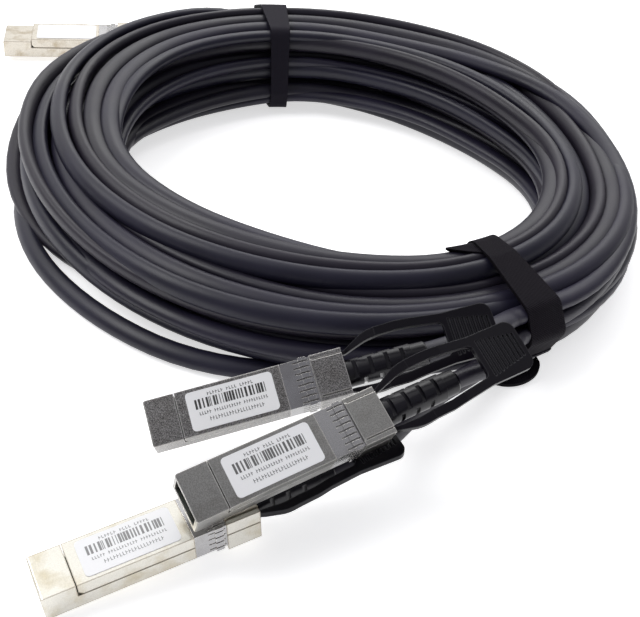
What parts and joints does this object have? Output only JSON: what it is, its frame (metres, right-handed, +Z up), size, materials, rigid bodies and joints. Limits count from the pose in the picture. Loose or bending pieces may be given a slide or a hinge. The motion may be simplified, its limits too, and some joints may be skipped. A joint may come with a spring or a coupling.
{
  "type": "direct attach copper cable",
  "caption": "Breakout direct attach copper cable: a wide shielded plug fans out into small plugs on thick black cables, coiled and tied with hook-and-loop straps.",
  "frame": {"origin": "centre of the plan outline of the plugs and straps, on the surface the set lies on", "axes": "+Z up from the surface; +Y from the small plugs towards the coil's far side; +X to the right as seen from the small plugs"},
  "size_m": [0.2721, 0.3445, 0.0449],
  "materials": {
    "cast_metal": "nickel-plated die casting, fine bead-blasted grain",
    "cover_metal": "nickel-plated die casting, fine bead-blasted grain",
    "spring_steel": "smooth stainless sheet",
    "circuit_board": "green board with gold edge contacts",
    "label_film": "satin white film with plain grey bars",
    "tab_plastic": "satin black moulding with ribs",
    "boot_plastic": "matte black moulding",
    "cable_jacket": "satin blue-black jacket, slightly oval",
    "strap_fabric": "woven hook-and-loop tape"
  },
  "bodies": {
    "cable_set": {"sfp_a_lower_shell": "cast_metal", "sfp_a_top_cover": "cover_metal", "sfp_a_paddle_card": "circuit_board", "sfp_a_emi_collar": "spring_steel", "sfp_a_label": "label_film", "sfp_a_boot": "boot_plastic", "sfp_b_lower_shell": "cast_metal", "sfp_b_top_cover": "cover_metal", "sfp_b_paddle_card": "circuit_board", "sfp_b_emi_collar": "spring_steel", "sfp_b_label": "label_film", "sfp_b_boot": "boot_plastic", "sfp_c_lower_shell": "cast_metal", "sfp_c_top_cover": "cover_metal", "sfp_c_paddle_card": "circuit_board", "sfp_c_emi_collar": "spring_steel", "sfp_c_label": "label_film", "sfp_c_boot": "boot_plastic", "sfp_d_lower_shell": "cast_metal", "sfp_d_top_cover": "cover_metal", "sfp_d_paddle_card": "circuit_board", "sfp_d_emi_collar": "spring_steel", "sfp_d_label": "label_film", "sfp_d_boot": "boot_plastic", "qsfp_lower_shell": "cast_metal", "qsfp_top_cover": "cover_metal", "qsfp_paddle_card": "circuit_board", "qsfp_emi_collar": "spring_steel", "qsfp_label": "label_film", "qsfp_boot": "boot_plastic", "cable_coil": "cable_jacket", "sfp_a_cable": "cable_jacket", "sfp_b_cable": "cable_jacket", "sfp_c_cable": "cable_jacket", "sfp_d_cable": "cable_jacket", "qsfp_cable_near_low": "cable_jacket", "qsfp_cable_near_high": "cable_jacket", "qsfp_cable_far_low": "cable_jacket", "qsfp_cable_far_high": "cable_jacket", "front_strap": "strap_fabric", "back_strap": "strap_fabric"},
    "sfp_a_tab_body": {"sfp_a_pull_tab": "tab_plastic"},
    "sfp_b_tab_body": {"sfp_b_pull_tab": "tab_plastic"},
    "sfp_c_tab_body": {"sfp_c_pull_tab": "tab_plastic"},
    "sfp_d_tab_body": {"sfp_d_pull_tab": "tab_plastic"},
    "qsfp_tab_body": {"qsfp_pull_tab": "tab_plastic"},
    "sfp_a_latch_body": {"sfp_a_latch": "spring_steel"},
    "sfp_b_latch_body": {"sfp_b_latch": "spring_steel"},
    "sfp_c_latch_body": {"sfp_c_latch": "spring_steel"},
    "sfp_d_latch_body": {"sfp_d_latch": "spring_steel"}
  },
  "joints": [
    {"name": "sfp_a_tab_pull", "type": "slide", "parent": "cable_set", "child": "sfp_a_tab_body", "axis": [0.9299, 0.3022, 0.2096], "range_m": [0, 0.0025], "stiffness_N_per_m": 600},
    {"name": "sfp_b_tab_pull", "type": "slide", "parent": "cable_set", "child": "sfp_b_tab_body", "axis": [0.8243, 0.5539, 0.1167], "range_m": [0, 0.0025], "stiffness_N_per_m": 600},
    {"name": "sfp_c_tab_pull", "type": "slide", "parent": "cable_set", "child": "sfp_c_tab_body", "axis": [0.8553, 0.5078, 0.1028], "range_m": [0, 0.0025], "stiffness_N_per_m": 600},
    {"name": "sfp_d_tab_pull", "type": "slide", "parent": "cable_set", "child": "sfp_d_tab_body", "axis": [-0.866, 0.5, 0], "range_m": [0, 0.0025], "stiffness_N_per_m": 600},
    {"name": "qsfp_tab_pull", "type": "slide", "parent": "cable_set", "child": "qsfp_tab_body", "axis": [0.9781, 0.2079, 0], "range_m": [0, 0.0025], "stiffness_N_per_m": 600},
    {"name": "sfp_a_latch_tilt", "type": "hinge", "parent": "cable_set", "child": "sfp_a_latch_body", "pos_m": [0.03306, -0.09937, 0.01852], "axis": [-0.3676, 0.7819, 0.5036], "range_deg": [0, 5.8]},
    {"name": "sfp_b_latch_tilt", "type": "hinge", "parent": "cable_set", "child": "sfp_b_latch_body", "pos_m": [0.04327, -0.12304, 0.02431], "axis": [-0.5474, 0.7276, 0.4134], "range_deg": [0, 5.8]},
    {"name": "sfp_c_latch_tilt", "type": "hinge", "parent": "cable_set", "child": "sfp_c_latch_body", "pos_m": [0.01177, -0.14262, 0.00602], "axis": [-0.5131, 0.8578, 0.0312], "range_deg": [0, 5.8]},
    {"name": "sfp_d_latch_tilt", "type": "hinge", "parent": "cable_set", "child": "sfp_d_latch_body", "pos_m": [0.08486, 0.1398, 0.0028], "axis": [-0.5, -0.866, 0], "range_deg": [0, 5.8]}
  ],
  "couplings": [
    {"joint": "sfp_a_latch_tilt", "follows": "sfp_a_tab_pull", "rad_per_m": 40.4},
    {"joint": "sfp_b_latch_tilt", "follows": "sfp_b_tab_pull", "rad_per_m": 40.4},
    {"joint": "sfp_c_latch_tilt", "follows": "sfp_c_tab_pull", "rad_per_m": 40.4},
    {"joint": "sfp_d_latch_tilt", "follows": "sfp_d_tab_pull", "rad_per_m": 40.4}
  ]
}
